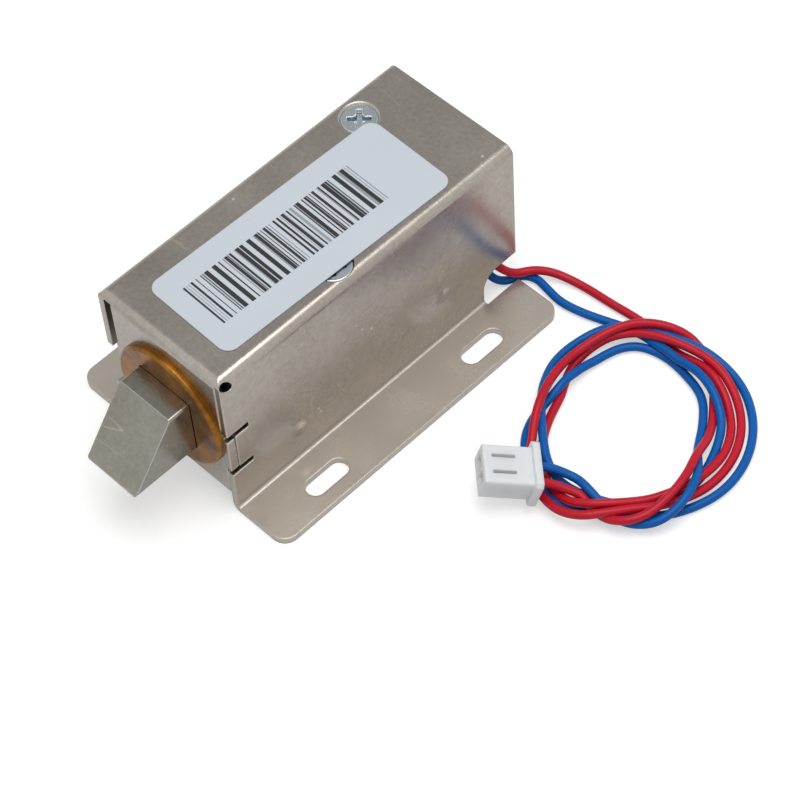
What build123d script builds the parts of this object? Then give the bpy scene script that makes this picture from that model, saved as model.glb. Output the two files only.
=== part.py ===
from build123d import *
import os
from math import cos, radians, sin, sqrt, tan

# Electronic cabinet lock: a spring-loaded solenoid bolt in a folded sheet cover with two
# mounting flanges, and two leads that end in a white two-way plug.
# Millimetres. X runs along the bolt, which throws towards -X, and Z is up.
# The flanges stand on Z = 0, and the origin is the middle of the four mounting slots.

# Cover: one folded sheet
SHEET = 1.0
BEND = 1.4
COVER_LENGTH = 54.0
COVER_WIDTH = 23.2
COVER_HEIGHT = 28.0
SIDE_SETBACK = 0.12
FRONT_PLATE_BOTTOM = 3.9
FRONT_PLATE_GAP = 1.6
CORNER_RELIEF_R = 0.75

# Flanges and their slots
FLANGE_SPAN = 41.0
FLANGE_REAR_SETBACK = 0.3
FLANGE_CORNER = 2.2
SLOT_SPACING_X = 30.0
SLOT_FROM_EDGE = 3.7
SLOT_WIDTH = 3.0
SLOT_LENGTH = 7.2
SLOT_FRONT = 11.6

# Tab and recess that join the front plate to the side plate
RECESS_BOTTOM = 9.3
RECESS_HEIGHT = 6.4
RELIEF_DEPTH = 3.9
RELIEF_HEIGHT = 1.1
TAB = 1.3
TAB_PLAY = 0.15

# Notch in the near side plate that lets the leads out
NOTCH_LENGTH = 6.5
NOTCH_HEIGHT = 6.1
NOTCH_RADIUS = 2.8
NOTCH_IN_FLANGE = 0.7

# Bolt axis, off the middle of the cover
AXIS_Y = -1.3

# Guide bush
BUSH_WALL = 0.9
BUSH_FLANGE = 1.0
BUSH_FLANGE_RIM = 1.7
BUSH_LIP = 1.2
BUSH_SIDE_GAP = 0.6
BUSH_EDGE = 0.45

# Latch bolt: a square bar with one bevelled face
BOLT_SIDE = 9.6
BOLT_PLAY = 0.15
BOLT_THROW = 11.9
BEVEL_RUN = 7.5
BOLT_TAIL = 3.2
BOLT_EDGE = 0.4
STROKE = 10.0

# Plunger and the pieces on it
NECK_R = 3.0
NECK_DEPTH = 6.0
PLUNGER_R = 4.5
PLUNGER_LENGTH = 23.8
POLE_CONE = 3.5
POLE_TIP_R = 1.5
WASHER = 1.0
WASHER_RIM = 0.2
BUMPER = 1.0
BUMPER_WALL = 0.75
PIN_R = 1.0
PIN_FROM_TAIL = 2.6
SLIP = 0.05

# Return spring
SPRING_WIRE = 0.6
SPRING_MEAN_R = 6.0
SPRING_TURNS = 5.5

# Yoke: one bent steel strap
YOKE = 2.0
YOKE_FRONT = 18.0
YOKE_REAR_SETBACK = 1.4
YOKE_SIDE_PLAY = 0.6
YOKE_EDGE = 0.45
YOKE_BEND = 2.4
LEAD_NOTCH_WIDTH = 7.8
LEAD_NOTCH_HEIGHT = 4.9

# Coil on its bobbin
TUBE_WALL = 0.4
RUNNING_GAP = 0.06
SEAT_GAP = 0.04
BOBBIN_WALL = 1.0
BOBBIN_FLANGE = 1.2
COIL_SIDE_GAP = 0.1
COIL_TOP_GAP = 0.5
WINDING_SINK = 0.65
TAPE = 0.2
TAPE_LAP_DEGREES = 40

# Fixed core, riveted to the yoke
CORE_GAP = 0.3
CORE_LAND = 0.3
STUD_R = 3.0
RIVET_R = 4.0
RIVET = 0.8

# Splice sleeves, where the winding is joined to the leads
SLEEVE_R = 1.1
SLEEVE_LENGTH = 8.0
SLEEVE_FROM_YOKE = 4.1
SLEEVE_GAP = 0.1
RED_SLEEVE_ANGLE = -132
BLUE_SLEEVE_ANGLE = -110

# Two countersunk screws
SCREW_R = 1.45
SCREW_HOLE_R = 1.5
SCREW_PASS_R = 1.7
HEAD_R = 2.6
HEAD_SINK = 0.25
SCREW_LENGTH = 4.0
CROSS_LENGTH = 3.4
CROSS_WIDTH = 0.75
CROSS_DEPTH = 1.0
CROSS_CORE_R = 0.9
CROSS_FLOOR_R = 0.35
REAR_SCREW_INSET = (8.6, 2.5)
FRONT_SCREW_INSET = (5.8, 2.5)

# Paper label on the top
LABEL = 0.12
LABEL_LENGTH = 40.2
LABEL_WIDTH = 15.9
LABEL_CORNER = 1.8
LABEL_CENTRE = (24.6, -1.4)
LABEL_TURN = -1.4

# Leads
LEAD_D = 1.25

# Ring of coiled leads on the surface that the lock stands on
RING_OUTER = (19.0, -42.2, 17.7)
RING_INNER = (19.9, -40.3, 10.9)
RING_HEIGHT = 2.7
RING_EDGE = 0.6

# Two-way plug: its collar's back lies across the leads, and its nose points away from the ring
PLUG_AT = (2.94, -38.55, 4.1)
PLUG_YAW = -40.2
PLUG_PITCH = 16.0
PLUG_ROLL = 3.4
PLUG_LENGTH = 6.8
PLUG_WIDTH = 6.0
PLUG_HEIGHT = 4.0
COLLAR = 1.0
COLLAR_RIM = 0.7
PIN_PITCH = 2.5
CAVITY = 1.7
CONTACT = 1.3
CONTACT_WALL = 0.25
CONTACT_LENGTH = 5.2
WINDOW_LENGTH = 3.2
WINDOW_WIDTH = 0.5
WINDOW_FROM_NOSE = 1.2
PLUG_BACK_WALL = 1.2
PLUG_CLEAR = 0.05
RING_SETBACK = 1.5

# Places worked out from the sizes above
FRONT = -(SLOT_FRONT + SLOT_SPACING_X / 2)
REAR = FRONT + COVER_LENGTH
HALF_WIDTH = COVER_WIDTH / 2
INSIDE = HALF_WIDTH - SHEET
SLOT_SPACING_Y = FLANGE_SPAN - 2 * SLOT_FROM_EDGE
SIDE_ROOM = INSIDE - abs(AXIS_Y)
BOBBIN_FLANGE_R = SIDE_ROOM - COIL_SIDE_GAP
WINDING_R = BOBBIN_FLANGE_R - WINDING_SINK
AXIS_Z = COVER_HEIGHT - SHEET - YOKE - COIL_TOP_GAP - BOBBIN_FLANGE_R
BOLT_HALF = BOLT_SIDE / 2
BOLT_DIAGONAL = BOLT_HALF * sqrt(2)
BUSH_NECK_R = BOLT_DIAGONAL + BOLT_PLAY * sqrt(2) + BUSH_WALL
BUSH_FLANGE_R = BUSH_NECK_R + BUSH_FLANGE_RIM
BUSH_LIP_R = SIDE_ROOM - BUSH_SIDE_GAP
BUMPER_R = BOLT_DIAGONAL + SLIP * sqrt(2) + BUMPER_WALL
WASHER_R = BUMPER_R + WASHER_RIM
TAIL_X = FRONT + BOLT_TAIL
WASHER_X = TAIL_X
SHOULDER_X = WASHER_X + WASHER
PLUNGER_END = SHOULDER_X + PLUNGER_LENGTH
YOKE_X = FRONT + YOKE_FRONT
YOKE_REAR = REAR - YOKE_REAR_SETBACK
YOKE_TOP = COVER_HEIGHT - SHEET
YOKE_NEAR = -INSIDE
YOKE_FAR = INSIDE - YOKE_SIDE_PLAY
YOKE_BOTTOM = FRONT_PLATE_BOTTOM
TUBE_IN_R = PLUNGER_R + RUNNING_GAP
TUBE_OUT_R = TUBE_IN_R + TUBE_WALL
BORE_R = TUBE_OUT_R + SEAT_GAP
BOBBIN_R = BORE_R + BOBBIN_WALL
SLEEVE_END = YOKE_REAR - YOKE - SLEEVE_FROM_YOKE
SLEEVE_OFF_AXIS = WINDING_R + 2 * TAPE + SLEEVE_R + SLEEVE_GAP


def along_x(x, sketch):
    """Puts a sketch of (y, z) on the plane across the bolt axis at x."""
    return Plane.YZ.offset(x) * sketch


def rod(x0, x1, radius, y=AXIS_Y, z=AXIS_Z):
    """A round bar along X."""
    return extrude(along_x(x0, Pos(y, z) * Circle(radius)), amount=x1 - x0)


def square_bar(x0, x1, side, corner):
    """A square bar along the bolt axis."""
    return extrude(along_x(x0, Pos(AXIS_Y, AXIS_Z) * RectangleRounded(side, side, corner)), amount=x1 - x0)


def block(x0, x1, y0, y1, z0, z1):
    """A box between two corners."""
    return Pos((x0 + x1) / 2, (y0 + y1) / 2, (z0 + z1) / 2) * Box(x1 - x0, y1 - y0, z1 - z0)


def cone_down(x, y, top, bottom, r_top, r_bottom):
    """A cone with a vertical axis, wide at the top."""
    return Pos(x, y, (top + bottom) / 2) * Cone(r_bottom, r_top, top - bottom)


def at_point(vertex, y, z):
    """Whether a corner of a (y, z) outline is at one place."""
    return abs(vertex.X - y) < 0.001 and abs(vertex.Y - z) < 0.001


def hat_profile():
    """Section of the cover across the bolt: top, two sides and two flanges."""
    half_span = FLANGE_SPAN / 2
    under = COVER_HEIGHT - SHEET
    outline = Polyline(
        (-half_span, 0), (-INSIDE, 0), (-INSIDE, under), (INSIDE, under), (INSIDE, 0), (half_span, 0),
        (half_span, SHEET), (HALF_WIDTH, SHEET), (HALF_WIDTH, COVER_HEIGHT),
        (-HALF_WIDTH, COVER_HEIGHT), (-HALF_WIDTH, SHEET), (-half_span, SHEET), close=True,
    )
    profile = make_face(outline)
    for side in (-1, 1):
        for y, z, radius in (
            (HALF_WIDTH, COVER_HEIGHT, BEND),
            (INSIDE, under, BEND - SHEET),
            (HALF_WIDTH, SHEET, BEND - SHEET),
            (INSIDE, 0, BEND),
        ):
            corner = [v for v in profile.vertices() if at_point(v, side * y, z)]
            profile = fillet(corner, radius)
    return profile


def front_fold():
    """The front plate and the bend that joins it to the top."""
    top_run = BEND + SHEET
    outline = Polyline(
        (FRONT, FRONT_PLATE_BOTTOM), (FRONT, COVER_HEIGHT), (FRONT + top_run, COVER_HEIGHT),
        (FRONT + top_run, COVER_HEIGHT - SHEET), (FRONT + SHEET, COVER_HEIGHT - SHEET),
        (FRONT + SHEET, FRONT_PLATE_BOTTOM), close=True,
    )
    profile = make_face(outline)
    outer = [v for v in profile.vertices() if at_point(v, FRONT, COVER_HEIGHT)]
    profile = fillet(outer, BEND)
    inner = [v for v in profile.vertices() if at_point(v, FRONT + SHEET, COVER_HEIGHT - SHEET)]
    profile = fillet(inner, BEND - SHEET)
    near, far = -INSIDE, INSIDE - FRONT_PLATE_GAP
    # A sketch of (x, z) stands up on the XZ plane, whose normal is -Y
    return extrude(Plane.XZ.offset(-far) * profile, amount=far - near)


def outer_envelope():
    """The space inside the outer skin of the front, top and sides, as one rounded block."""
    body = block(FRONT, REAR, -HALF_WIDTH, HALF_WIDTH, -SHEET, COVER_HEIGHT)
    edges = body.edges().group_by(Axis.Z)[-1].sort_by(Axis.X)[:-1]
    return fillet(edges, BEND)


def flange_plan():
    """The plan of the blank: rounded flanges, and a body that runs to the rear edge."""
    x0, x1 = FRONT + SIDE_SETBACK, REAR - FLANGE_REAR_SETBACK
    centre, length = (x0 + x1) / 2, x1 - x0
    flanges = extrude(Pos(centre, 0, -SHEET) * RectangleRounded(length, FLANGE_SPAN, FLANGE_CORNER),
                      amount=COVER_HEIGHT + 2 * SHEET)
    body = block(x0, REAR, -HALF_WIDTH, HALF_WIDTH, -SHEET, COVER_HEIGHT + SHEET)
    return flanges + body


def side_cuts(side):
    """Recess and relief slots in the front edge of one side plate."""
    y0, y1 = sorted((side * (INSIDE - SLIP), side * (HALF_WIDTH + SLIP)))
    recess_top = RECESS_BOTTOM + RECESS_HEIGHT
    recess = block(FRONT - SHEET, FRONT + TAB + TAB_PLAY, y0, y1, RECESS_BOTTOM, recess_top)
    upper = block(FRONT - SHEET, FRONT + RELIEF_DEPTH, y0, y1, recess_top, recess_top + RELIEF_HEIGHT)
    lower = block(FRONT - SHEET, FRONT + RELIEF_DEPTH, y0, y1, RECESS_BOTTOM - RELIEF_HEIGHT, RECESS_BOTTOM)
    return recess + upper + lower


def lead_notch():
    """Cut-out at the lower rear corner of the near side plate."""
    x0, x1 = REAR - NOTCH_LENGTH, REAR + SHEET
    y0, y1 = -HALF_WIDTH - NOTCH_IN_FLANGE, -INSIDE + SLIP
    cut = block(x0, x1, y0, y1, -SHEET, NOTCH_HEIGHT)
    edge = cut.edges().filter_by(Axis.Y).sort_by(Axis.X)[:2].sort_by(Axis.Z)[-1]
    return fillet(edge, NOTCH_RADIUS)


def corner_relief(side):
    """Round hole where the top, front and side folds meet."""
    corner = (FRONT + BEND, side * (HALF_WIDTH - SHEET / 4), COVER_HEIGHT - BEND)
    return Plane(origin=corner, z_dir=(-1, side, 1)) * Cylinder(CORNER_RELIEF_R, 4 * SHEET)


def screw_places():
    """Centres of the two screws, each a given distance in from one end and one edge of the yoke."""
    rear_x, rear_y = REAR_SCREW_INSET
    front_x, front_y = FRONT_SCREW_INSET
    return [(YOKE_REAR - rear_x, YOKE_FAR - rear_y), (YOKE_X + front_x, YOKE_NEAR + front_y)]


def countersink(x, y):
    """Cone that the screw head seats in, from the top face down."""
    wide = HEAD_R + HEAD_SINK
    depth = wide - SCREW_HOLE_R
    return cone_down(x, y, COVER_HEIGHT, COVER_HEIGHT - depth, wide, SCREW_HOLE_R)


def make_cover():
    """Folded cover with its flanges, front plate, slots and cut-outs."""
    channel = extrude(along_x(FRONT + SIDE_SETBACK, hat_profile()), amount=COVER_LENGTH - SIDE_SETBACK)
    skin = outer_envelope() + block(FRONT, REAR, -FLANGE_SPAN / 2, FLANGE_SPAN / 2, -SHEET, BEND + SHEET)
    cover = channel & flange_plan() & skin
    for side in (-1, 1):
        cover -= side_cuts(side)
    cover += front_fold() & outer_envelope()
    tab_bottom = RECESS_BOTTOM + TAB_PLAY
    cover += block(FRONT, FRONT + TAB, -HALF_WIDTH, -INSIDE + SLIP,
                   tab_bottom, tab_bottom + RECESS_HEIGHT - 2 * TAB_PLAY)
    for side in (-1, 1):
        cover -= corner_relief(side)
    cover -= lead_notch()
    cover -= rod(FRONT - SHEET, FRONT + 2 * SHEET, BUSH_NECK_R)
    for x in (-SLOT_SPACING_X / 2, SLOT_SPACING_X / 2):
        for y in (-SLOT_SPACING_Y / 2, SLOT_SPACING_Y / 2):
            cover -= extrude(Pos(x, y, -SHEET) * SlotOverall(SLOT_LENGTH, SLOT_WIDTH), amount=3 * SHEET)
    for x, y in screw_places():
        cover -= Pos(x, y, COVER_HEIGHT) * Cylinder(SCREW_PASS_R, 4 * SHEET)
        cover -= countersink(x, y)
    return cover


def make_guide_bush():
    """Round bush with a square bore, riveted into the front plate."""
    flange = rod(FRONT - BUSH_FLANGE, FRONT, BUSH_FLANGE_R)
    rim = flange.edges().filter_by(GeomType.CIRCLE).sort_by(Axis.X)[0]
    flange = fillet(rim, BUSH_EDGE)
    neck = rod(FRONT, FRONT + SHEET, BUSH_NECK_R)
    lip = rod(FRONT + SHEET, FRONT + SHEET + BUSH_LIP, BUSH_LIP_R)
    outer = lip.edges().filter_by(GeomType.CIRCLE).sort_by(Axis.X)[-1]
    lip = chamfer(outer, BUSH_LIP / 2)
    bore = square_bar(FRONT - 2 * BUSH_FLANGE, FRONT + 2 * SHEET + BUSH_LIP, BOLT_SIDE + 2 * BOLT_PLAY, 0.4)
    return flange + neck + lip - bore


def make_latch_bolt():
    """Square bolt with a bevelled nose, a bore for the plunger and a hole for its pin."""
    bottom, top = AXIS_Z - BOLT_HALF, AXIS_Z + BOLT_HALF
    tip = FRONT - BOLT_THROW
    outline = Polyline((tip, bottom), (TAIL_X, bottom), (TAIL_X, top), (tip + BEVEL_RUN, top), close=True)
    side = AXIS_Y + BOLT_HALF
    bar = extrude(Plane.XZ.offset(-side) * make_face(outline), amount=BOLT_SIDE)
    bar = fillet(bar.edges().filter_by(Axis.X), BOLT_EDGE)
    bar -= rod(TAIL_X - NECK_DEPTH, TAIL_X, NECK_R + SLIP)
    bar -= Pos(TAIL_X - PIN_FROM_TAIL, AXIS_Y, AXIS_Z) * Cylinder(PIN_R, 2 * BOLT_SIDE)
    return bar


def make_plunger():
    """Steel plunger: a neck for the bolt, a round body and a conical pole face."""
    neck = rod(TAIL_X - NECK_DEPTH, SHOULDER_X, NECK_R)
    body = rod(SHOULDER_X, PLUNGER_END - POLE_CONE, PLUNGER_R)
    cone = Plane(origin=(PLUNGER_END - POLE_CONE / 2, AXIS_Y, AXIS_Z), z_dir=(1, 0, 0))
    nose = cone * Cone(PLUNGER_R, POLE_TIP_R, POLE_CONE)
    plunger = neck + body + nose
    return plunger - Pos(TAIL_X - PIN_FROM_TAIL, AXIS_Y, AXIS_Z) * Cylinder(PIN_R, 2 * BOLT_SIDE)


def make_cross_pin():
    """Pin that holds the plunger in the bolt."""
    length = BOLT_SIDE - 2 * BOLT_EDGE
    return Pos(TAIL_X - PIN_FROM_TAIL, AXIS_Y, AXIS_Z) * Cylinder(PIN_R, length)


def make_stop_washer():
    """Washer that stops the bolt against the bush and carries the spring."""
    return rod(WASHER_X, SHOULDER_X, WASHER_R) - rod(WASHER_X, SHOULDER_X, NECK_R + SLIP)


def make_bumper():
    """Rubber ring between the stop washer and the bush."""
    x0 = WASHER_X - BUMPER
    hole = square_bar(x0, WASHER_X, BOLT_SIDE + 2 * SLIP, 0.3)
    return rod(x0, WASHER_X, BUMPER_R) - hole


def make_return_spring():
    """Open coil spring between the stop washer and the yoke."""
    length = YOKE_X - SHOULDER_X - SPRING_WIRE
    path = Helix(pitch=length / SPRING_TURNS, height=length, radius=SPRING_MEAN_R)
    section = Plane(origin=path @ 0, z_dir=path % 0) * Circle(SPRING_WIRE / 2)
    place = Plane(origin=(SHOULDER_X + SPRING_WIRE / 2, AXIS_Y, AXIS_Z), z_dir=(1, 0, 0))
    return place * sweep(section, path=path)


def make_yoke():
    """U-shaped steel strap: a top plate with two ends bent down."""
    outline = Polyline(
        (YOKE_X, YOKE_BOTTOM), (YOKE_X, YOKE_TOP), (YOKE_REAR, YOKE_TOP), (YOKE_REAR, YOKE_BOTTOM),
        (YOKE_REAR - YOKE, YOKE_BOTTOM), (YOKE_REAR - YOKE, YOKE_TOP - YOKE),
        (YOKE_X + YOKE, YOKE_TOP - YOKE), (YOKE_X + YOKE, YOKE_BOTTOM), close=True,
    )
    profile = make_face(outline)
    corners = [v for v in profile.vertices() if abs(v.Y - YOKE_TOP) < 0.001]
    profile = fillet(corners, YOKE_BEND)
    inner = [v for v in profile.vertices() if abs(v.Y - (YOKE_TOP - YOKE)) < 0.001]
    profile = fillet(inner, YOKE_BEND - YOKE)
    yoke = extrude(Plane.XZ.offset(-YOKE_FAR) * profile, amount=YOKE_FAR - YOKE_NEAR)
    yoke = fillet(yoke.edges().filter_by(Axis.X).group_by(Axis.Z)[-1], YOKE_EDGE)
    yoke -= rod(YOKE_X - SHEET, YOKE_X + YOKE + SHEET, BORE_R)
    yoke -= rod(YOKE_REAR - YOKE - SHEET, YOKE_REAR + SHEET, STUD_R)
    cut = block(YOKE_REAR - 2 * YOKE, YOKE_REAR + SHEET, YOKE_NEAR - SHEET, YOKE_NEAR + LEAD_NOTCH_WIDTH,
                YOKE_BOTTOM - SHEET, YOKE_BOTTOM + LEAD_NOTCH_HEIGHT)
    yoke -= cut
    for x, y in screw_places():
        yoke -= Pos(x, y, YOKE_TOP) * Cylinder(SCREW_HOLE_R, 4 * YOKE)
        yoke -= countersink(x, y)
    return yoke


def make_guide_tube():
    """Thin brass tube that the plunger slides in."""
    x0, x1 = YOKE_X, YOKE_REAR - YOKE
    return rod(x0, x1, TUBE_OUT_R) - rod(x0, x1, TUBE_IN_R)


def make_fixed_core():
    """Steel core behind the plunger, with a conical seat and a riveted stud."""
    seat_x = PLUNGER_END - POLE_CONE + STROKE + CORE_GAP
    face_x = seat_x + CORE_LAND
    inner_face = YOKE_REAR - YOKE
    body = rod(face_x, inner_face, PLUNGER_R)
    stud = rod(inner_face, YOKE_REAR, STUD_R)
    head = rod(YOKE_REAR, YOKE_REAR + RIVET, RIVET_R)
    rim = head.edges().filter_by(GeomType.CIRCLE).sort_by(Axis.X)[-1]
    head = fillet(rim, RIVET * 0.6)
    seat = Plane(origin=(seat_x + POLE_CONE / 2, AXIS_Y, AXIS_Z), z_dir=(1, 0, 0))
    return body + stud + head - seat * Cone(PLUNGER_R, POLE_TIP_R, POLE_CONE)


def make_bobbin():
    """Moulded spool between the two ends of the yoke."""
    x0, x1 = YOKE_X + YOKE, YOKE_REAR - YOKE
    spool = rod(x0, x1, BOBBIN_R)
    spool += rod(x0, x0 + BOBBIN_FLANGE, BOBBIN_FLANGE_R)
    spool += rod(x1 - BOBBIN_FLANGE, x1, BOBBIN_FLANGE_R)
    return spool - rod(x0, x1, BORE_R)


def winding_span():
    """The two ends of the space between the bobbin's flanges."""
    return YOKE_X + YOKE + BOBBIN_FLANGE, YOKE_REAR - YOKE - BOBBIN_FLANGE


def make_winding():
    """Copper winding."""
    x0, x1 = winding_span()
    return rod(x0, x1, WINDING_R) - rod(x0, x1, BOBBIN_R)


def make_coil_tape():
    """Insulating tape round the winding, with a lapped end."""
    x0, x1 = winding_span()
    wrap = rod(x0, x1, WINDING_R + TAPE) - rod(x0, x1, WINDING_R)
    lap_r = WINDING_R + 2 * TAPE
    lap = rod(x0, x1, lap_r) - rod(x0, x1, WINDING_R + TAPE)
    half = radians(TAPE_LAP_DEGREES / 2)
    reach = 2 * lap_r
    wedge = make_face(Polyline((AXIS_Y, AXIS_Z), (AXIS_Y + reach * sin(half), AXIS_Z - reach * cos(half)),
                               (AXIS_Y - reach * sin(half), AXIS_Z - reach * cos(half)), close=True))
    swing = Pos(0, AXIS_Y, AXIS_Z) * Rot(TAPE_LAP_DEGREES, 0, 0) * Pos(0, -AXIS_Y, -AXIS_Z)
    sector = swing * extrude(along_x(x0, wedge), amount=x1 - x0)
    return wrap + (lap & sector)


def sleeve_place(angle):
    """Centre line (y, z) of a splice sleeve on the outside of the coil."""
    return AXIS_Y + SLEEVE_OFF_AXIS * cos(radians(angle)), AXIS_Z + SLEEVE_OFF_AXIS * sin(radians(angle))


def make_sleeve(angle):
    """Insulating sleeve over the joint between a lead and the winding."""
    y, z = sleeve_place(angle)
    sleeve = rod(SLEEVE_END - SLEEVE_LENGTH, SLEEVE_END, SLEEVE_R, y, z)
    return fillet(sleeve.edges().filter_by(GeomType.CIRCLE), 0.3)


def make_screw(x, y):
    """Countersunk screw with a cross recess."""
    top = COVER_HEIGHT - HEAD_SINK
    neck = top - (HEAD_R - SCREW_R)
    screw = cone_down(x, y, top, neck, HEAD_R, SCREW_R)
    screw += Pos(x, y, (neck + top - SCREW_LENGTH) / 2) * Cylinder(SCREW_R, SCREW_LENGTH - (top - neck))
    for turn in (45, 135):
        screw -= Pos(x, y, top) * Rot(0, 0, turn) * Box(CROSS_LENGTH, CROSS_WIDTH, 2 * CROSS_DEPTH)
    screw -= cone_down(x, y, top, top - CROSS_DEPTH, CROSS_CORE_R, CROSS_FLOOR_R)
    return screw


def make_label():
    """Paper label with rounded corners, stuck on the top over the edges of both screw heads."""
    x, y = LABEL_CENTRE
    sheet = Rot(0, 0, LABEL_TURN) * RectangleRounded(LABEL_LENGTH, LABEL_WIDTH, LABEL_CORNER)
    return extrude(Pos(FRONT + x, y, COVER_HEIGHT) * sheet, amount=LABEL)


RED_ROUTE = [
    (19.9, -8.09, 7.76), (22.0, -8.09, 7.76), (23.8, -8.8, 6.5), (25.0, -10.6, 3.9), (26.6, -12.0, 2.2),
    (29.0, -13.3, 2.1), (30.9, -15.2, 1.5), (32.1, -17.9, 0.8), (32.6, -21.2, 0.68), (32.8, -24.8, 0.68),
    (33.2, -28.3, 0.68), (33.3, -31.5, 0.68),
]
BLUE_ROUTE = [
    (19.9, -4.77, 5.76), (22.3, -4.77, 5.76), (23.9, -5.7, 4.8), (24.4, -7.8, 3.0), (24.3, -9.8, 1.5),
    (25.7, -11.25, 0.72), (27.9, -11.8, 0.68), (29.1, -13.8, 0.68), (28.7, -16.3, 0.68), (28.2, -19.3, 0.68),
    (28.8, -22.6, 0.68), (29.8, -25.7, 0.68), (30.9, -28.6, 0.68), (31.4, -31.6, 0.68),
]
RED_TAIL_ROUTE = [(2.12, -39.49, 4.03), (3.44, -40.61, 3.53), (4.45, -42.3, 2.75), (5.15, -44.2, 2.05)]
BLUE_TAIL_ROUTE = [(3.76, -37.61, 4.17), (5.08, -38.73, 3.67), (6.2, -40.4, 2.85), (6.95, -42.2, 2.1)]


def corner_radii(route):
    """Radius at each inner point: 0.45 of the shorter run over the tangent of half the turn."""
    points = [Vector(*p) for p in route]
    radii = []
    for before, here, after in zip(points, points[1:], points[2:]):
        run_in, run_out = here - before, after - here
        half_turn = radians(run_in.get_angle(run_out)) / 2
        radii.append(0.45 * min(run_in.length, run_out.length) / tan(half_turn))
    return radii


def lead_tube(name, route):
    """A lead as straight runs joined by tangent arcs."""
    radii = corner_radii(route)
    print(name, "radii", [round(r, 1) for r in radii])
    path = FilletPolyline(*route, radius=radii)
    section = Plane(origin=path @ 0, z_dir=path % 0) * Circle(LEAD_D / 2)
    tube = sweep(section, path=path)
    print(name, "length", round(path.length, 1), "volume over section x length",
          round(tube.volume / (path.length * 3.14159265 * (LEAD_D / 2) ** 2), 4))
    return tube


def plug_place():
    """The plug's own frame: X out of the collar's back along the leads, Z out of the windows."""
    return Pos(*PLUG_AT) * Rot(0, 0, PLUG_YAW) * Rot(0, PLUG_PITCH, 0) * Rot(PLUG_ROLL, 0, 0)


def make_plug_housing():
    """Two-way housing with a collar at the lead end, two cavities and two windows."""
    nose = -(PLUG_LENGTH + COLLAR)
    body = Pos(nose + PLUG_LENGTH / 2, 0, 0) * Box(PLUG_LENGTH, PLUG_WIDTH, PLUG_HEIGHT)
    body = fillet(body.edges().filter_by(Axis.X), 0.35)
    rim = 2 * COLLAR_RIM
    collar = Pos(-COLLAR / 2, 0, 0) * Box(COLLAR, PLUG_WIDTH + rim, PLUG_HEIGHT + rim)
    collar = chamfer(collar.edges().filter_by(Axis.X), 0.5)
    housing = body + collar
    depth = -PLUG_BACK_WALL - nose
    for y in (-PIN_PITCH / 2, PIN_PITCH / 2):
        housing -= Pos(nose + depth / 2, y, 0) * Box(depth, CAVITY, CAVITY)
        window = block(nose + WINDOW_FROM_NOSE, nose + WINDOW_FROM_NOSE + WINDOW_LENGTH,
                       y - WINDOW_WIDTH / 2, y + WINDOW_WIDTH / 2, 0, PLUG_HEIGHT)
        housing -= window
    return plug_place() * housing


def make_plug_contacts():
    """Two box contacts, one in each cavity."""
    contacts = []
    centre = -PLUG_BACK_WALL - CONTACT_LENGTH / 2
    for y in (-PIN_PITCH / 2, PIN_PITCH / 2):
        outer = Box(CONTACT_LENGTH, CONTACT, CONTACT)
        inner = Box(CONTACT_LENGTH, CONTACT - 2 * CONTACT_WALL, CONTACT - 2 * CONTACT_WALL)
        seam = Pos(0, 0, -CONTACT / 2) * Box(CONTACT_LENGTH, CONTACT_WALL / 2, 2 * CONTACT_WALL)
        contacts.append(plug_place() * Pos(centre, y, 0) * (outer - inner - seam))
    return Compound(children=[contact.solids()[0] for contact in contacts])


def make_lead_ring():
    """The outer shape of the coiled leads, lower where the plug lies on them."""
    ox, oy, outer = RING_OUTER
    ix, iy, inner = RING_INNER
    ring = extrude(Pos(ox, oy) * Circle(outer) - Pos(ix, iy) * Circle(inner), amount=RING_HEIGHT)
    top = ring.edges().filter_by(GeomType.CIRCLE).group_by(Axis.Z)[-1]
    ring = fillet(top, RING_EDGE)
    half_width = PLUG_WIDTH / 2 + COLLAR_RIM + LEAD_D / 2
    under = PLUG_HEIGHT / 2 + COLLAR_RIM + PLUG_CLEAR
    room = block(-2 * PLUG_LENGTH, RING_SETBACK, -half_width, half_width, -under, 2 * PLUG_HEIGHT)
    return ring - plug_place() * room


def solid_of(shape):
    """The single solid of a shape, or the shape itself when it is a group."""
    solids = shape.solids()
    return solids[0] if len(solids) == 1 else Compound(children=list(solids))


def write(name, shape):
    """Writes one sub-part."""
    part = solid_of(shape)
    part.label = name
    export_step(part, f"parts/{name}.step")


os.makedirs("parts", exist_ok=True)
write("cover", make_cover())
write("guide_bush", make_guide_bush())
write("latch_bolt", make_latch_bolt())
write("plunger", make_plunger())
write("cross_pin", make_cross_pin())
write("stop_washer", make_stop_washer())
write("bumper_ring", make_bumper())
write("return_spring", make_return_spring())
write("yoke", make_yoke())
write("guide_tube", make_guide_tube())
write("fixed_core", make_fixed_core())
write("bobbin", make_bobbin())
write("winding", make_winding())
write("coil_tape", make_coil_tape())
write("red_splice", make_sleeve(RED_SLEEVE_ANGLE))
write("blue_splice", make_sleeve(BLUE_SLEEVE_ANGLE))
write("cover_screws", Compound(children=[make_screw(x, y).solids()[0] for x, y in screw_places()]))
write("label", make_label())
write("red_lead", lead_tube("red_lead", RED_ROUTE))
write("blue_lead", lead_tube("blue_lead", BLUE_ROUTE))
write("lead_ring", make_lead_ring())
write("red_tail", lead_tube("red_tail", RED_TAIL_ROUTE))
write("blue_tail", lead_tube("blue_tail", BLUE_TAIL_ROUTE))
write("plug_housing", make_plug_housing())
write("plug_contacts", make_plug_contacts())
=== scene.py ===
import math

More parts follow.
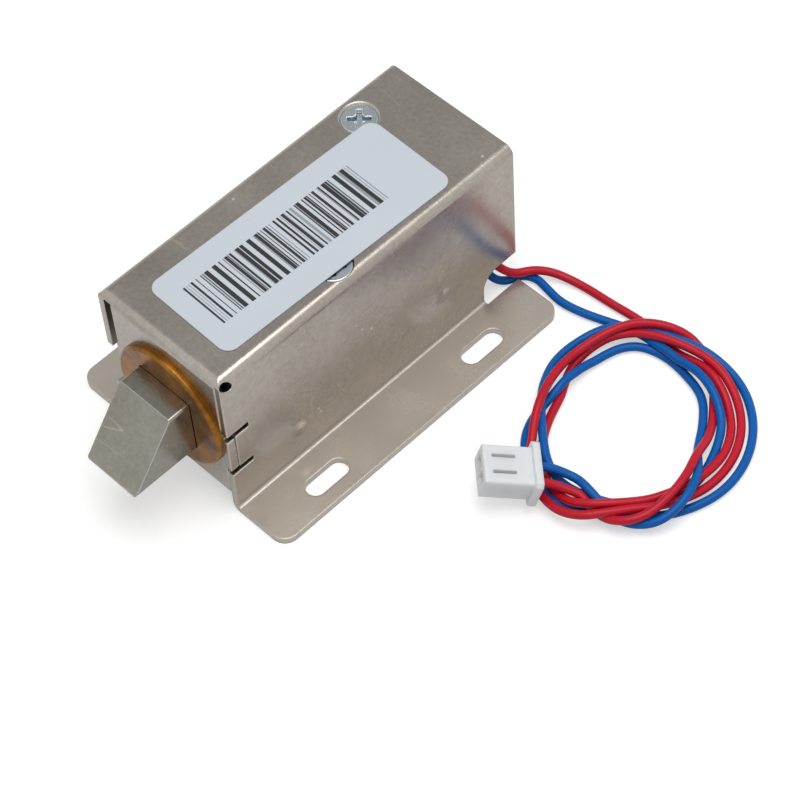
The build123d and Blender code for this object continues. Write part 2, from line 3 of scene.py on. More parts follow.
import bpy
import numpy as np
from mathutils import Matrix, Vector


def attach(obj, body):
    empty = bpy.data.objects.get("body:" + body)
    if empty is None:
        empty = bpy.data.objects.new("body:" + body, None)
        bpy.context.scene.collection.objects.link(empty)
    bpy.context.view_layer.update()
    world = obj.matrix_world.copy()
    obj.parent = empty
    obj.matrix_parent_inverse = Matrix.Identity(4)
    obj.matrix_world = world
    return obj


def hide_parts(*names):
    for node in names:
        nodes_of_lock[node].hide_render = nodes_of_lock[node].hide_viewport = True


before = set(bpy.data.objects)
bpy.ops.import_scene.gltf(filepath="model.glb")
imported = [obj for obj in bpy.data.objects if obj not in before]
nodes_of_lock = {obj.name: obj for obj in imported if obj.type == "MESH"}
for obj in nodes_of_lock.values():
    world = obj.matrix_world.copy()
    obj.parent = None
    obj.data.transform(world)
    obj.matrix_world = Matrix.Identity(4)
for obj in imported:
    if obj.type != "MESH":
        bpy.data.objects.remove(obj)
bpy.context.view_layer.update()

# Electronic cabinet lock: looks, leads and studio. Metres, in the frame of the CAD model.
MM = 0.001


def in_metres(points):
    """Points given in millimetres, in metres."""
    return [tuple(MM * value for value in point) for point in points]


# Camera at the photograph's viewing angle
CAMERA_PLACE = (-0.15119, -0.18774, 0.31468)
CAMERA_TURN_DEGREES = (36.164, 2.830, -45.190)
CAMERA_LENS = 128.0

camera_data = bpy.data.cameras.new("camera")
camera_data.lens = CAMERA_LENS
camera_data.sensor_width = 36.0
camera_data.clip_start = 0.01
camera_data.clip_end = 20.0
camera = bpy.data.objects.new("camera", camera_data)
camera.location = CAMERA_PLACE
camera.rotation_euler = [math.radians(turn) for turn in CAMERA_TURN_DEGREES]
bpy.context.scene.collection.objects.link(camera)
bpy.context.scene.camera = camera

# Leads: the stretch from each splice to the ring, and the end at the plug, in millimetres
LEAD_DIAMETER = 1.25
RED_ROUTE = [
    (19.9, -8.09, 7.76), (22.0, -8.09, 7.76), (23.8, -8.8, 6.5), (25.0, -10.6, 3.9), (26.6, -12.0, 2.2),
    (29.0, -13.3, 2.1), (30.9, -15.2, 1.5), (32.1, -17.9, 0.8), (32.6, -21.2, 0.68), (32.8, -24.8, 0.68),
    (33.2, -28.3, 0.68), (33.3, -31.5, 0.68),
]
BLUE_ROUTE = [
    (19.9, -4.77, 5.76), (22.3, -4.77, 5.76), (23.9, -5.7, 4.8), (24.4, -7.8, 3.0), (24.3, -9.8, 1.5),
    (25.7, -11.25, 0.72), (27.9, -11.8, 0.68), (29.1, -13.8, 0.68), (28.7, -16.3, 0.68), (28.2, -19.3, 0.68),
    (28.8, -22.6, 0.68), (29.8, -25.7, 0.68), (30.9, -28.6, 0.68), (31.4, -31.6, 0.68),
]
RED_TAIL_ROUTE = [(2.12, -39.49, 4.03), (3.44, -40.61, 3.53), (4.45, -42.3, 2.75), (5.15, -44.2, 2.05)]
BLUE_TAIL_ROUTE = [(3.76, -37.61, 4.17), (5.08, -38.73, 3.67), (6.2, -40.4, 2.85), (6.95, -42.2, 2.1)]

# The ring: where each lead lies, as direction in degrees, radius and height in millimetres. The rows
# were read from the photograph, and the heights follow which strand lies on top.
RING_CENTRE = (20.2, -41.3)
RING_STEP_DEGREES = 10
LOW = 0.68
RED_TURNS = [
    (29, 14.4, LOW), (20, 12.9, LOW), (8, 12.3, 1.3), (-5, 12.3, 1.9), (-12, 12.2, 1.9),
    (-25, 12.1, 1.3), (-40, 12.0, LOW), (-70, 12.0, 0.9), (-85, 12.1, 1.7), (-100, 12.2, 1.9),
    (-120, 12.7, 1.9), (-134, 13.5, 1.9), (-147, 14.0, 2.0), (-159, 15.3, 2.3), (-167, 15.9, 2.1),
    (-174, 16.2, 1.2), (-180, 16.0, LOW), (-195, 15.2, LOW), (-205, 14.2, LOW), (-213, 13.3, LOW),
    (-227, 12.3, LOW), (-239, 11.7, LOW), (-250, 11.4, LOW), (-262, 12.1, LOW), (-271, 12.9, LOW),
    (-285, 13.8, 0.8), (-300, 14.6, 1.2), (-316, 14.2, 1.7), (-326, 13.4, 1.9), (-337, 13.0, 1.9),
    (-349, 13.0, 1.9), (-362, 13.1, 1.9), (-375, 13.2, 1.6), (-388, 13.3, 1.0), (-400, 13.4, LOW),
    (-430, 13.6, LOW), (-445, 13.7, LOW), (-460, 13.9, 0.9), (-475, 14.2, 1.5), (-490, 14.6, 1.9),
    (-506, 15.5, 2.2), (-516, 17.0, 2.2), (-523, 18.1, 1.9), (-529, 18.7, 1.6), (-534, 18.5, 1.1),
    (-540, 18.2, LOW), (-545, 17.8, LOW), (-560, 16.6, LOW), (-572, 14.8, 1.5), (-580, 14.2, 2.0),
    (-591, 13.6, 2.9), (-599, 13.2, 3.1), (-611, 13.2, 2.6), (-622, 13.4, 2.1), (-631, 13.6, 1.9),
    (-641, 13.7, 1.9), (-653, 14.1, 2.1), (-664, 14.5, 2.5), (-673, 14.7, 3.0), (-686, 14.7, 3.1),
    (-696, 14.8, 2.6), (-703, 15.0, 1.9), (-710, 14.9, 1.0), (-718, 14.3, LOW), (-727, 13.2, LOW),
    (-736, 12.0, LOW), (-746, 11.0, LOW), (-757, 10.4, LOW), (-770, 10.1, 0.8), (-785, 10.0, 1.3),
    (-800, 10.1, 2.0), (-810, 10.6, 2.8), (-820, 11.6, 3.1), (-835, 13.6, 3.1), (-845, 15.1, 2.8),
    (-855, 16.7, 2.1), (-865, 17.5, 1.9), (-871, 17.2, 1.2), (-876, 16.7, LOW), (-880, 16.1, 0.8),
    (-884, 15.6, 1.2),
]
BLUE_TURNS = [
    (34, 13.2, LOW), (25, 12.0, LOW), (14, 11.2, LOW), (5, 11.0, 1.1), (-5, 10.8, 1.7),
    (-15, 10.7, 1.9), (-25, 10.7, 1.9), (-38, 10.9, 1.3), (-50, 11.1, LOW), (-70, 11.3, LOW),
    (-85, 11.8, LOW), (-100, 12.6, LOW), (-115, 13.3, LOW), (-135, 13.8, LOW), (-155, 14.0, LOW),
    (-165, 14.1, LOW), (-175, 14.6, LOW), (-185, 15.0, 0.9), (-195, 14.7, 1.6), (-205, 13.9, 1.9),
    (-213, 13.4, 1.9), (-222, 13.1, 1.9), (-230, 13.1, 1.9), (-240, 13.3, 1.9), (-251, 13.9, 1.4),
    (-261, 14.5, 0.8), (-268, 15.1, LOW), (-276, 15.4, LOW), (-284, 15.7, LOW), (-292, 15.9, LOW),
    (-301, 16.2, 1.2), (-309, 15.6, 1.9), (-318, 15.3, 1.9), (-327, 15.0, 1.9), (-336, 14.6, 1.9),
    (-344, 14.4, 1.9), (-352, 14.5, 1.9), (-363, 14.8, 1.5), (-373, 15.2, 0.9), (-385, 15.4, LOW),
    (-400, 15.4, LOW), (-430, 15.5, LOW), (-445, 15.6, LOW), (-460, 15.6, LOW), (-472, 15.5, LOW),
    (-485, 15.6, LOW), (-500, 15.7, LOW), (-509, 16.1, LOW), (-517, 16.1, LOW), (-523, 16.3, LOW),
    (-529, 16.9, LOW), (-535, 17.2, 0.9), (-541, 17.0, LOW), (-550, 16.9, LOW), (-560, 16.6, LOW),
    (-568, 16.2, LOW), (-575, 15.9, LOW), (-580, 15.4, LOW), (-587, 14.7, LOW), (-597, 13.4, LOW),
    (-607, 12.2, 1.5), (-612, 12.0, 1.9), (-619, 11.8, 1.9), (-627, 11.7, 1.5), (-637, 11.8, 1.1),
    (-649, 12.0, 0.8), (-662, 12.7, 0.8), (-673, 13.5, LOW), (-682, 13.5, LOW), (-692, 12.8, LOW),
    (-702, 11.8, LOW), (-712, 10.9, LOW), (-722, 10.3, LOW), (-735, 9.9, LOW), (-745, 9.5, LOW),
    (-758, 8.9, LOW), (-772, 8.6, LOW), (-785, 8.6, LOW), (-795, 8.8, LOW), (-803, 9.4, 1.0),
    (-810, 10.4, 1.6), (-816, 11.7, 2.4), (-822, 12.9, 3.0), (-830, 14.4, 3.1), (-837, 15.7, 2.9),
    (-845, 17.0, 2.2), (-852, 17.5, 1.6), (-858, 17.2, 1.0), (-864, 16.9, LOW), (-870, 16.3, LOW),
    (-875, 15.2, 0.9), (-879, 14.6, 1.3), (-884, 14.0, 1.8), (-890, 13.6, 2.1),
]


def ring_points(turns):
    """Points of a lead's turns in the ring, evenly spaced in direction."""
    directions, radii, heights = np.array(turns).T
    count = round((directions[0] - directions[-1]) / RING_STEP_DEGREES)
    points = []
    for step in range(count + 1):
        direction = directions[0] + (directions[-1] - directions[0]) * step / count
        radius = np.interp(-direction, -directions, radii)
        height = np.interp(-direction, -directions, heights)
        angle = math.radians(direction)
        points.append((RING_CENTRE[0] + radius * math.cos(angle),
                       RING_CENTRE[1] + radius * math.sin(angle), height))
    return points


# How the strands are moved apart, in rounds: firm, then softer, with a pull back to the start at first
ROUNDS = 320
PULLED_BACK_ROUNDS = 120
FIRM_ROUNDS = 160
SOFT_ROUNDS = 260
FIRM = 0.4
SOFT = 0.12
LOOSE = 0.03
PULL_BACK = 0.03
CLEARANCE = 1.07 * LEAD_DIAMETER
LOWEST = LEAD_DIAMETER / 2 + 0.02
NEIGHBOURS = 4


def settle(lines, held):
    """Pushes strands that lie too close apart, and spreads each move along its lead."""
    place = np.vstack(lines)
    start = place.copy()
    count = len(place)
    lead = np.repeat(np.arange(len(lines)), [len(line) for line in lines])
    order = np.arange(count)
    is_last = np.append(lead[1:] != lead[:-1], True)
    is_first = np.append(True, lead[1:] != lead[:-1])
    inner = order[~is_last & ~is_first]
    free = np.ones((count, 1))
    free[held] = 0
    following = np.where(is_last, order, order + 1)
    for round_number in range(ROUNDS):
        push = np.zeros_like(place)
        weight = np.full((count, 1), 1e-9)
        for share in (0.0, 0.5):
            here = place * (1 - share) + place[following] * share
            for other_share in (0.0, 0.5):
                there = place * (1 - other_share) + place[following] * other_share
                apart = here[:, None] - there[None]
                distance = np.linalg.norm(apart, axis=2)
                far_along = (lead[:, None] != lead[None]) | (np.abs(order[:, None] - order[None]) > NEIGHBOURS)
                first, second = np.nonzero((distance < CLEARANCE) & far_along)
                gap = np.maximum(distance[first, second], 1e-6)[:, None]
                move = apart[first, second] / gap * (CLEARANCE - gap) / 2
                np.add.at(push, first, move * (1 - share))
                np.add.at(weight, first, 1 - share)
                np.add.at(push, following[first], move * share)
                np.add.at(weight, following[first], share)
        place = place + free * push / weight
        moved = place - start
        spread = np.zeros_like(place)
        spread[inner] = (moved[inner - 1] + moved[inner + 1]) / 2 - moved[inner]
        stiffness = FIRM if round_number < FIRM_ROUNDS else SOFT if round_number < SOFT_ROUNDS else LOOSE
        place = place + free * spread * stiffness
        if round_number < PULLED_BACK_ROUNDS:
            place = place + free * (start - place) * PULL_BACK
        low = place[:, 2] < LOWEST
        place[low & (free[:, 0] > 0), 2] = LOWEST
    sizes = np.cumsum([len(line) for line in lines])[:-1]
    return np.split(place, sizes)


def whole_line(route, turns, tail):
    """A lead's points from its splice to the plug, and which of them stay where they are."""
    ring = ring_points(turns)
    points = np.array(route + ring + tail[::-1])
    held = list(range(len(route) - 1)) + list(range(len(points) - len(tail) + 1, len(points)))
    return points, held


# Radius of the leads' points. A curve's box grows by it, in metres, so it isn't left at 1, and the bevel
# is larger by the same factor: bevel depth times point radius is half the lead's diameter.
THIN = 0.0005


def lead_curve(name, points, diameter):
    """A lead as one smooth curve through its points."""
    data = bpy.data.curves.new(name, "CURVE")
    data.dimensions = "3D"
    spline = data.splines.new("NURBS")
    spline.points.add(len(points) - 1)
    for point, place in zip(spline.points, in_metres(points)):
        point.co = (*place, 1.0)
        point.radius = THIN
    spline.order_u = 3
    spline.use_endpoint_u = True
    spline.resolution_u = 10
    data.bevel_depth = diameter / 2 * MM / THIN
    data.bevel_resolution = 5
    data.use_fill_caps = True
    curve = bpy.data.objects.new(name, data)
    bpy.context.scene.collection.objects.link(curve)
    return curve


red_line, red_held = whole_line(RED_ROUTE, RED_TURNS, RED_TAIL_ROUTE)
blue_line, blue_held = whole_line(BLUE_ROUTE, BLUE_TURNS, BLUE_TAIL_ROUTE)
held_points = red_held + [len(red_line) + index for index in blue_held]
red_line, blue_line = settle([red_line, blue_line], held_points)

red_wire = lead_curve("red_wire", red_line, LEAD_DIAMETER)
blue_wire = lead_curve("blue_wire", blue_line, LEAD_DIAMETER)
for wire in (red_wire, blue_wire):
    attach(wire, "lock")
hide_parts("red_lead", "lead_ring", "red_tail")
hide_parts("blue_lead", "blue_tail")


# Materials
def new_material(name):
    """A material with one principled shader, and its node tree."""
    material = bpy.data.materials.new(name)
    material.use_nodes = True
    return material, material.node_tree


def shader_of(tree):
    """The principled shader of a node tree."""
    return next(node for node in tree.nodes if node.type == "BSDF_PRINCIPLED")


def set_inputs(node, values):
    """Sets a node's inputs by name."""
    for name, value in values.items():
        node.inputs[name].default_value = value


def noise(tree, scale, detail=3.0, stretch=(1, 1, 1), roughness=0.55, turn=(0, 0, 0)):
    """Noise in object space, scale in features per metre, turned and stretched along the axes."""
    place = tree.nodes.new("ShaderNodeTexCoord")
    mapping = tree.nodes.new("ShaderNodeMapping")
    mapping.inputs["Scale"].default_value = stretch
    mapping.inputs["Rotation"].default_value = turn
    texture = tree.nodes.new("ShaderNodeTexNoise")
    set_inputs(texture, {"Scale": scale, "Detail": detail, "Roughness": roughness})
    tree.links.new(place.outputs["Object"], mapping.inputs["Vector"])
    tree.links.new(mapping.outputs["Vector"], texture.inputs["Vector"])
    return texture.outputs["Fac"]


def ramp(tree, source, stops):
    """A colour ramp over a factor; stops are (position, colour)."""
    node = tree.nodes.new("ShaderNodeValToRGB")
    elements = node.color_ramp.elements
    while len(elements) < len(stops):
        elements.new(0.5)
    for element, (position, colour) in zip(elements, stops):
        element.position = position
        element.color = colour if len(colour) == 4 else (*colour, 1.0)
    tree.links.new(source, node.inputs["Fac"])
    return node.outputs["Color"]


def span(tree, source, low, high, to_low, to_high):
    """Maps a factor from one range to another."""
    node = tree.nodes.new("ShaderNodeMapRange")
    set_inputs(node, {"From Min": low, "From Max": high, "To Min": to_low, "To Max": to_high})
    tree.links.new(source, node.inputs["Value"])
    return node.outputs["Result"]


def mixed(tree, factor, first, second, blend="MIX"):
    """Mixes two colours, either of which may be a value or a socket."""
    node = tree.nodes.new("ShaderNodeMix")
    node.data_type = "RGBA"
    node.blend_type = blend
    for socket, value in ((node.inputs[0], factor), (node.inputs[6], first), (node.inputs[7], second)):
        if isinstance(value, bpy.types.NodeSocket):
            tree.links.new(value, socket)
        elif isinstance(value, (int, float)):
            socket.default_value = value
        else:
            socket.default_value = (*value, 1.0)
    return node.outputs[2]


def bump(tree, height, strength, distance, normal=None):
    """Raises the shading by a height, on top of another normal if one is given."""
    node = tree.nodes.new("ShaderNodeBump")
    set_inputs(node, {"Strength": strength, "Distance": distance})
    tree.links.new(height, node.inputs["Height"])
    if normal is not None:
        tree.links.new(normal, node.inputs["Normal"])
    return node.outputs["Normal"]


def soft_edges(tree, radius):
    """Rounds the shading of sharp edges."""
    node = tree.nodes.new("ShaderNodeBevel")
    node.samples = 6
    node.inputs["Radius"].default_value = radius
    return node.outputs["Normal"]


def scratches(tree, scale, stretch, turn=(0, 0, 0), width=0.006):
    """Thin long lines, 1 on a line and 0 elsewhere, broken up by a second noise."""
    lines = noise(tree, scale, 1.0, stretch, 0.4, turn)
    thin = ramp(tree, lines, [(0.5 - width, (0, 0, 0)), (0.5, (1, 1, 1)), (0.5 + width, (0, 0, 0))])
    here = noise(tree, 150.0, 2.0)
    kept = ramp(tree, here, [(0.52, (0, 0, 0)), (0.6, (1, 1, 1))])
    return mixed(tree, 1.0, thin, kept, "MULTIPLY")


def specks(tree, scale, size, sparse):
    """Small round spots, 1 inside a spot, only where a coarse noise is high."""
    place = tree.nodes.new("ShaderNodeTexCoord")
    cells = tree.nodes.new("ShaderNodeTexVoronoi")
    set_inputs(cells, {"Scale": scale})
    tree.links.new(place.outputs["Object"], cells.inputs["Vector"])
    dots = ramp(tree, cells.outputs["Distance"], [(size * 0.5, (1, 1, 1)), (size, (0, 0, 0))])
    where = ramp(tree, noise(tree, scale * 0.23, 2.0), [(sparse, (0, 0, 0)), (sparse + 0.05, (1, 1, 1))])
    return mixed(tree, 1.0, dots, where, "MULTIPLY")


def edge_wear_and_highlight_mask(tree, radius, low=0.02, high=0.12):
    """1 where the surface bends sharply, 0 on flat stretches."""
    rounded = tree.nodes.new("ShaderNodeBevel")
    rounded.samples = 6
    rounded.inputs["Radius"].default_value = radius
    shape = tree.nodes.new("ShaderNodeNewGeometry")
    dot = tree.nodes.new("ShaderNodeVectorMath")
    dot.operation = "DOT_PRODUCT"
    tree.links.new(rounded.outputs["Normal"], dot.inputs[0])
    tree.links.new(shape.outputs["Normal"], dot.inputs[1])
    return span(tree, dot.outputs["Value"], 1.0 - low, 1.0 - high, 0.0, 1.0)


def metal(name, dark, light, rough, grain=(1, 1, 1), edge=0.0002, grain_depth=0.15, edge_wear_and_highlight=None,
          scratched=0.3, spots=0.0, patch=55.0, waves=0.0):
    """A metal whose tone, gloss, fine grain, scratches and edge tone vary. The edge tone is wear, and on the
    bronze also a painted highlight.
    """
    material, tree = new_material(name)
    shader = shader_of(tree)
    shader.inputs["Metallic"].default_value = 1.0
    tone = ramp(tree, noise(tree, patch, 4.0), [(0.32, dark), (0.68, light)])
    mottle = ramp(tree, noise(tree, 1500.0, 3.0), [(0.3, (0.9, 0.9, 0.9)), (0.7, (1.08, 1.08, 1.08))])
    tone = mixed(tree, 1.0, tone, mottle, "MULTIPLY")
    lines = scratches(tree, 420.0, (1.0, 0.06, 0.06), (0.2, 0.3, 0.9))
    tone = mixed(tree, span(tree, lines, 0, 1, 0, scratched), tone, tuple(1.7 * v for v in light))
    if spots:
        dots = specks(tree, 520.0, 0.16, 0.6)
        tone = mixed(tree, span(tree, dots, 0, 1, 0, spots), tone, (0.8, 0.78, 0.75))
    # Edges get the edge tone: worn metal, and on the bronze also a painted highlight of the lit rim.
    if edge_wear_and_highlight is not None:
        tone = mixed(tree, edge_wear_and_highlight_mask(tree, 0.0003), tone, edge_wear_and_highlight)
    tree.links.new(tone, shader.inputs["Base Color"])
    gloss = noise(tree, 120.0, 5.0)
    tree.links.new(span(tree, gloss, 0.3, 0.7, rough - 0.06, rough + 0.08), shader.inputs["Roughness"])
    fine = noise(tree, 4200.0, 3.0, grain)
    normal = soft_edges(tree, edge)
    if waves:
        normal = bump(tree, noise(tree, 75.0, 2.0), 1.0, waves, normal)
    normal = bump(tree, fine, grain_depth, 0.00002, normal)
    tree.links.new(bump(tree, lines, 0.3, 0.00001, normal), shader.inputs["Normal"])
    return material


def give(node_name, material):
    """Puts a material on a CAD node."""
    mesh = nodes_of_lock[node_name].data
    mesh.materials.clear()
    mesh.materials.append(material)


def paint_light_low(material, low, high, painted_light_tone):
    """Paints a metal paler towards the base, as painted light, and makes it less mirror-like there."""
    tree = material.node_tree
    shader = shader_of(tree)
    place = tree.nodes.new("ShaderNodeTexCoord")
    axes = tree.nodes.new("ShaderNodeSeparateXYZ")
    tree.links.new(place.outputs["Object"], axes.inputs["Vector"])
    # 1 at the base, 0 higher up: how much of the painted light, a paler tone, is mixed in.
    painted_light_amount = span(tree, axes.outputs["Z"], low, high, 1.0, 0.0)
    tone = shader.inputs["Base Color"].links[0].from_socket
    tree.links.new(mixed(tree, painted_light_amount, tone, painted_light_tone), shader.inputs["Base Color"])
    tree.links.new(span(tree, painted_light_amount, 0.0, 1.0, 1.0, 0.6), shader.inputs["Metallic"])
    return material


def dented(material, places, radius, depth):
    """Presses small round dents into a material."""
    tree = material.node_tree
    shader = shader_of(tree)
    position = tree.nodes.new("ShaderNodeTexCoord").outputs["Object"]
    normal = shader.inputs["Normal"].links[0].from_socket
    for place in places:
        away = tree.nodes.new("ShaderNodeVectorMath")
        away.operation = "DISTANCE"
        away.inputs[1].default_value = place
        tree.links.new(position, away.inputs[0])
        near = tree.nodes.new("ShaderNodeMapRange")
        near.interpolation_type = "SMOOTHSTEP"
        set_inputs(near, {"From Min": 0.0, "From Max": radius, "To Min": 0.0, "To Max": 1.0})
        tree.links.new(away.outputs["Value"], near.inputs["Value"])
        normal = bump(tree, near.outputs["Result"], 1.0, depth, normal)
    tree.links.new(normal, shader.inputs["Normal"])
    return material


def turned_marks(material, centre, spacing):
    """Adds fine round tool marks about a centre."""
    tree = material.node_tree
    shader = shader_of(tree)
    shifted = tree.nodes.new("ShaderNodeMapping")
    shifted.inputs["Location"].default_value = tuple(-value for value in centre)
    tree.links.new(tree.nodes.new("ShaderNodeTexCoord").outputs["Object"], shifted.inputs["Vector"])
    rings = tree.nodes.new("ShaderNodeTexWave")
    rings.wave_type = "RINGS"
    rings.rings_direction = "SPHERICAL"
    set_inputs(rings, {"Scale": math.tau / 20 / spacing, "Distortion": 1.5, "Detail": 2.0,
                       "Detail Scale": 0.3})
    tree.links.new(shifted.outputs["Vector"], rings.inputs["Vector"])
    normal = shader.inputs["Normal"].links[0].from_socket
    tree.links.new(bump(tree, rings.outputs["Fac"], 0.25, 0.00001, normal), shader.inputs["Normal"])
    return material


SIDE_DENTS = [(-0.0145, -0.0116, 0.0066), (0.0132, -0.0116, 0.0096)]
DENT_RADIUS = 0.0016
DENT_DEPTH = 0.00022
# Heights in metres over which the sheet's painted light, a paler and less metallic base, fades out.
PAINTED_LIGHT_FULL_BELOW = 0.0015
PAINTED_LIGHT_NONE_ABOVE = 0.0085
BEVEL_MIDDLE = (-0.0335, 0.0, 0.0135)
TOOL_MARK_SPACING = 0.00035

sheet = metal("zinc_sheet", (0.35, 0.318, 0.282), (0.43, 0.395, 0.352), 0.24, edge=0.00035,
              edge_wear_and_highlight=(0.50, 0.475, 0.44), spots=0.8, patch=38.0, waves=0.00003, grain_depth=0.5)
# The flange and the low side are painted paler, a painted brightening for the light they catch.
sheet = paint_light_low(sheet, PAINTED_LIGHT_FULL_BELOW, PAINTED_LIGHT_NONE_ABOVE, (0.49, 0.442, 0.388))
give("cover", dented(sheet, SIDE_DENTS, DENT_RADIUS, DENT_DEPTH))
give("yoke", metal("zinc_strap", (0.30, 0.285, 0.26), (0.38, 0.36, 0.33), 0.28))
# The bronze's bright orange edges are partly wear and partly a painted highlight of its lit rim.
give("guide_bush", metal("bronze", (0.11, 0.043, 0.007), (0.39, 0.165, 0.026), 0.32,
                         edge_wear_and_highlight=(0.52, 0.24, 0.045), scratched=0.5, patch=230.0))
nickel = metal("bolt_nickel", (0.235, 0.22, 0.19), (0.30, 0.285, 0.25), 0.19, (0.05, 1, 1),
               edge_wear_and_highlight=(0.50, 0.48, 0.45), scratched=0.5)
give("latch_bolt", turned_marks(nickel, BEVEL_MIDDLE, TOOL_MARK_SPACING))
bright = metal("bright_steel", (0.38, 0.38, 0.38), (0.5, 0.5, 0.5), 0.25, (1, 0.05, 0.05))
for name in ("plunger", "cross_pin", "stop_washer", "fixed_core"):
    give(name, bright)
give("return_spring", metal("spring_wire", (0.3, 0.3, 0.3), (0.45, 0.45, 0.45), 0.3))
give("guide_tube", metal("brass_tube", (0.6, 0.4, 0.14), (0.7, 0.5, 0.2), 0.25))
give("cover_screws", metal("screw_zinc", (0.46, 0.53, 0.57), (0.58, 0.64, 0.68), 0.22, edge_wear_and_highlight=(0.7, 0.72, 0.74)))
tinned = metal("tinned", (0.74, 0.70, 0.62), (0.84, 0.80, 0.72), 0.3)
shader_of(tinned.node_tree).inputs["Metallic"].default_value = 0.5
give("plug_contacts", tinned)


def plastic(name, colour, rough, varied=0.06, grain=900.0, depth=0.1, subsurface=0.0, shine=0.5):
    """A moulded plastic or rubber with slight tone and gloss changes."""
    material, tree = new_material(name)
    shader = shader_of(tree)
    tone = noise(tree, 120.0, 3.0)
    low = tuple(max(0.0, value * (1 - varied)) for value in colour)
    high = tuple(min(1.0, value * (1 + varied)) for value in colour)
    tree.links.new(ramp(tree, tone, [(0.3, low), (0.7, high)]), shader.inputs["Base Color"])
    gloss = noise(tree, 400.0, 3.0)
    tree.links.new(span(tree, gloss, 0.3, 0.7, rough - 0.04, rough + 0.06), shader.inputs["Roughness"])
    fine = noise(tree, grain, 3.0)
    tree.links.new(bump(tree, fine, depth, 0.00003, soft_edges(tree, 0.0002)), shader.inputs["Normal"])
    shader.inputs["Specular IOR Level"].default_value = shine
    if subsurface:
        set_inputs(shader, {"Subsurface Weight": subsurface, "Subsurface Scale": 0.003,
                            "Subsurface Radius": (1.0, 0.9, 0.8)})
    return material


# Turn of the label's print and the block of bars, in metres from the origin
LABEL_TURN_DEGREES = 1.4
BARS_ALONG = (-0.0190, 0.0104)
BARS_ACROSS = (-0.0053, 0.0029)
BARS_SCALE = 1500.0
INK = (0.018, 0.017, 0.02)


def within(tree, value, low, high):
    """1 between two values with short soft ends, 0 outside."""
    rise = span(tree, value, low, low + 0.00008, 0.0, 1.0)
    fall = span(tree, value, high - 0.00008, high, 1.0, 0.0)
    return mixed(tree, 1.0, rise, fall, "MULTIPLY")


def label_paper():
    """White paper with a block of bars that a noise makes."""
    material = plastic("label_paper", (0.545, 0.587, 0.642), 0.55, varied=0.015, grain=3000.0, depth=0.08,
                       shine=0.4)
    tree = material.node_tree
    shader = shader_of(tree)
    paper = shader.inputs["Base Color"].links[0].from_socket
    place = tree.nodes.new("ShaderNodeTexCoord")
    turned = tree.nodes.new("ShaderNodeMapping")
    turned.inputs["Rotation"].default_value = (0, 0, math.radians(LABEL_TURN_DEGREES))
    tree.links.new(place.outputs["Object"], turned.inputs["Vector"])
    axes = tree.nodes.new("ShaderNodeSeparateXYZ")
    tree.links.new(turned.outputs["Vector"], axes.inputs["Vector"])
    along = tree.nodes.new("ShaderNodeMapping")
    along.inputs["Scale"].default_value = (1, 0, 0)
    tree.links.new(turned.outputs["Vector"], along.inputs["Vector"])
    bars = tree.nodes.new("ShaderNodeTexNoise")
    set_inputs(bars, {"Scale": BARS_SCALE, "Detail": 1.0, "Roughness": 0.6})
    tree.links.new(along.outputs["Vector"], bars.inputs["Vector"])
    ink = ramp(tree, bars.outputs["Fac"], [(0.49, (0, 0, 0)), (0.51, (1, 1, 1))])
    block = mixed(tree, 1.0, within(tree, axes.outputs["X"], *BARS_ALONG),
                  within(tree, axes.outputs["Y"], *BARS_ACROSS), "MULTIPLY")
    printed = mixed(tree, 1.0, ink, block, "MULTIPLY")
    tree.links.new(mixed(tree, printed, paper, INK), shader.inputs["Base Color"])
    return material


red_pvc = plastic("red_pvc", (0.52, 0.006, 0.024), 0.34, shine=0.25)
blue_pvc = plastic("blue_pvc", (0.0, 0.105, 0.41), 0.34, shine=0.2)
red_wire.data.materials.append(red_pvc)
blue_wire.data.materials.append(blue_pvc)
give("red_splice", plastic("red_tube", (0.40, 0.008, 0.020), 0.5))
give("blue_splice", plastic("blue_tube", (0.002, 0.065, 0.30), 0.5))
give("plug_housing", plastic("plug_nylon", (0.76, 0.785, 0.805), 0.36, varied=0.02, grain=700.0,
                             depth=0.05, subsurface=0.6))
give("bobbin", plastic("bobbin_nylon", (0.6, 0.59, 0.55), 0.45))
give("bumper_ring", plastic("rubber", (0.02, 0.02, 0.02), 0.6))
give("coil_tape", plastic("coil_tape", (0.62, 0.45, 0.06), 0.22))
give("winding", metal("copper", (0.45, 0.18, 0.08), (0.6, 0.26, 0.12), 0.3))
give("label", label_paper())


# Studio: tones are 0 to 1, sizes and places in metres, powers in watts
FLOOR_HALF = 3.0
FLOOR_DROP = 0.00003
FLOOR_TONE = 0.62
FLOOR_SEEN = 0.50
FLOOR_MIRRORED = 0.31
SKY_LOW = 0.17
SKY_HIGH = 0.72
CARD_PLACE = (0.26, 0.28, 0.38)
CARD_SIDE = 0.62
CARD_TONE = 0.56
KEY_PLACE = (0.02, -0.08, 0.62)
KEY_SIZE = 0.5
KEY_POWER = 2.1


def square(name, half):
    """A flat square object round the origin."""
    mesh = bpy.data.meshes.new(name)
    corners = [(-half, -half, 0), (half, -half, 0), (half, half, 0), (-half, half, 0)]
    mesh.from_pydata(corners, [], [(0, 1, 2, 3)])
    plane = bpy.data.objects.new(name, mesh)
    bpy.context.scene.collection.objects.link(plane)
    return plane


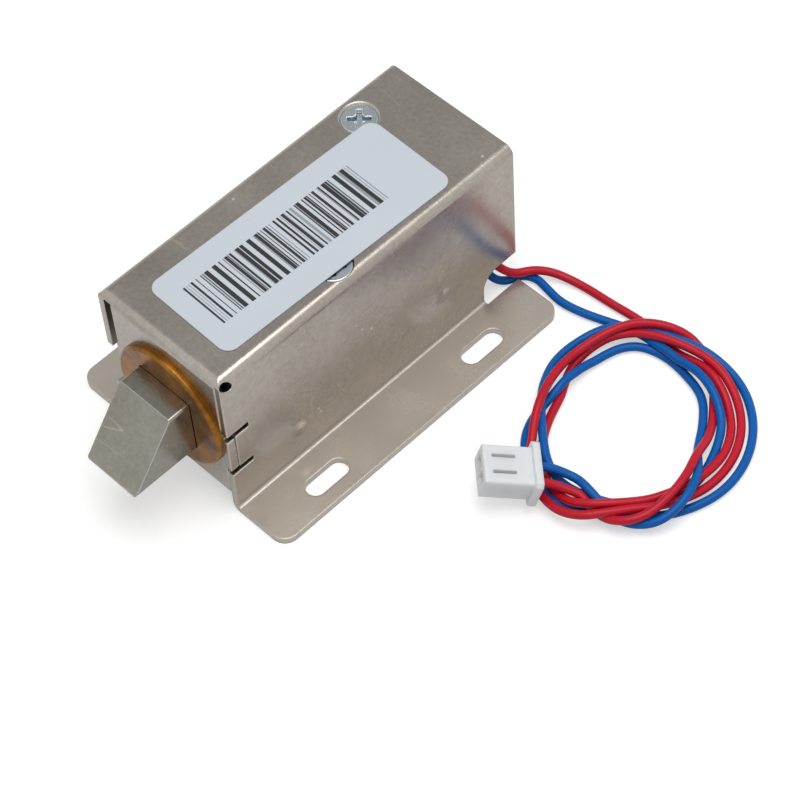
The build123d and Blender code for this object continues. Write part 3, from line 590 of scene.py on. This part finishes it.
def make_floor():
    """A pale floor, lifted to white for the camera and in reflections."""
    floor = square("floor", FLOOR_HALF)
    floor.location = (0, 0, -FLOOR_DROP)
    material, tree = new_material("floor_white")
    shader = shader_of(tree)
    set_inputs(shader, {"Base Color": (FLOOR_TONE, FLOOR_TONE, FLOOR_TONE, 1), "Roughness": 0.8,
                        "Specular IOR Level": 0.0, "Emission Color": (1, 1, 1, 1)})
    path = tree.nodes.new("ShaderNodeLightPath")
    direct = tree.nodes.new("ShaderNodeMath")
    direct.operation = "MULTIPLY"
    direct.inputs[1].default_value = FLOOR_SEEN
    tree.links.new(path.outputs["Is Camera Ray"], direct.inputs[0])
    both = tree.nodes.new("ShaderNodeMath")
    both.operation = "MULTIPLY_ADD"
    both.inputs[1].default_value = FLOOR_MIRRORED
    tree.links.new(path.outputs["Is Glossy Ray"], both.inputs[0])
    tree.links.new(direct.outputs[0], both.inputs[2])
    tree.links.new(both.outputs[0], shader.inputs["Emission Strength"])
    floor.data.materials.append(material)


def make_world():
    """White to the camera and in reflections; its light on the object fades towards the horizon."""
    world = bpy.data.worlds.new("studio")
    world.use_nodes = True
    tree = world.node_tree
    background = next(node for node in tree.nodes if node.type == "BACKGROUND")
    background.inputs["Color"].default_value = (1, 1, 1, 1)
    path = tree.nodes.new("ShaderNodeLightPath")
    seen = tree.nodes.new("ShaderNodeMath")
    seen.operation = "MAXIMUM"
    tree.links.new(path.outputs["Is Camera Ray"], seen.inputs[0])
    tree.links.new(path.outputs["Is Glossy Ray"], seen.inputs[1])
    clear = tree.nodes.new("ShaderNodeMath")
    clear.operation = "MAXIMUM"
    tree.links.new(seen.outputs[0], clear.inputs[0])
    tree.links.new(path.outputs["Is Transmission Ray"], clear.inputs[1])
    place = tree.nodes.new("ShaderNodeTexCoord")
    axes = tree.nodes.new("ShaderNodeSeparateXYZ")
    tree.links.new(place.outputs["Generated"], axes.inputs["Vector"])
    sky = span(tree, axes.outputs["Z"], 0.0, 1.0, SKY_LOW, SKY_HIGH)
    strength = mixed(tree, clear.outputs[0], sky, (1.0, 1.0, 1.0))
    tree.links.new(strength, background.inputs["Strength"])
    bpy.context.scene.world = world


def grey_card(place, target, side, tone):
    """A grey card that faces the object and is seen only in reflections."""
    card = square("card", side / 2)
    card.location = place
    card.rotation_euler = (Vector(place) - Vector(target)).to_track_quat("Z", "Y").to_euler()
    card.visible_camera = False
    card.visible_diffuse = False
    card.visible_shadow = False
    material, tree = new_material("card_grey")
    set_inputs(shader_of(tree), {"Base Color": (0, 0, 0, 1), "Roughness": 1.0, "Specular IOR Level": 0.0,
                                 "Emission Color": (1, 1, 1, 1), "Emission Strength": tone})
    card.data.materials.append(material)


def area_light(name, place, target, size, power):
    """A round lamp that faces a target."""
    data = bpy.data.lights.new(name, "AREA")
    data.shape = "DISK"
    data.size = size
    data.energy = power
    light = bpy.data.objects.new(name, data)
    light.location = place
    direction = Vector(target) - Vector(place)
    light.rotation_euler = direction.to_track_quat("-Z", "Y").to_euler()
    bpy.context.scene.collection.objects.link(light)


make_floor()
make_world()
grey_card(CARD_PLACE, (0, 0, 0), CARD_SIDE, CARD_TONE)
area_light("key", KEY_PLACE, (0, 0, 0), KEY_SIZE, KEY_POWER)
bpy.context.scene.view_settings.view_transform = "Standard"
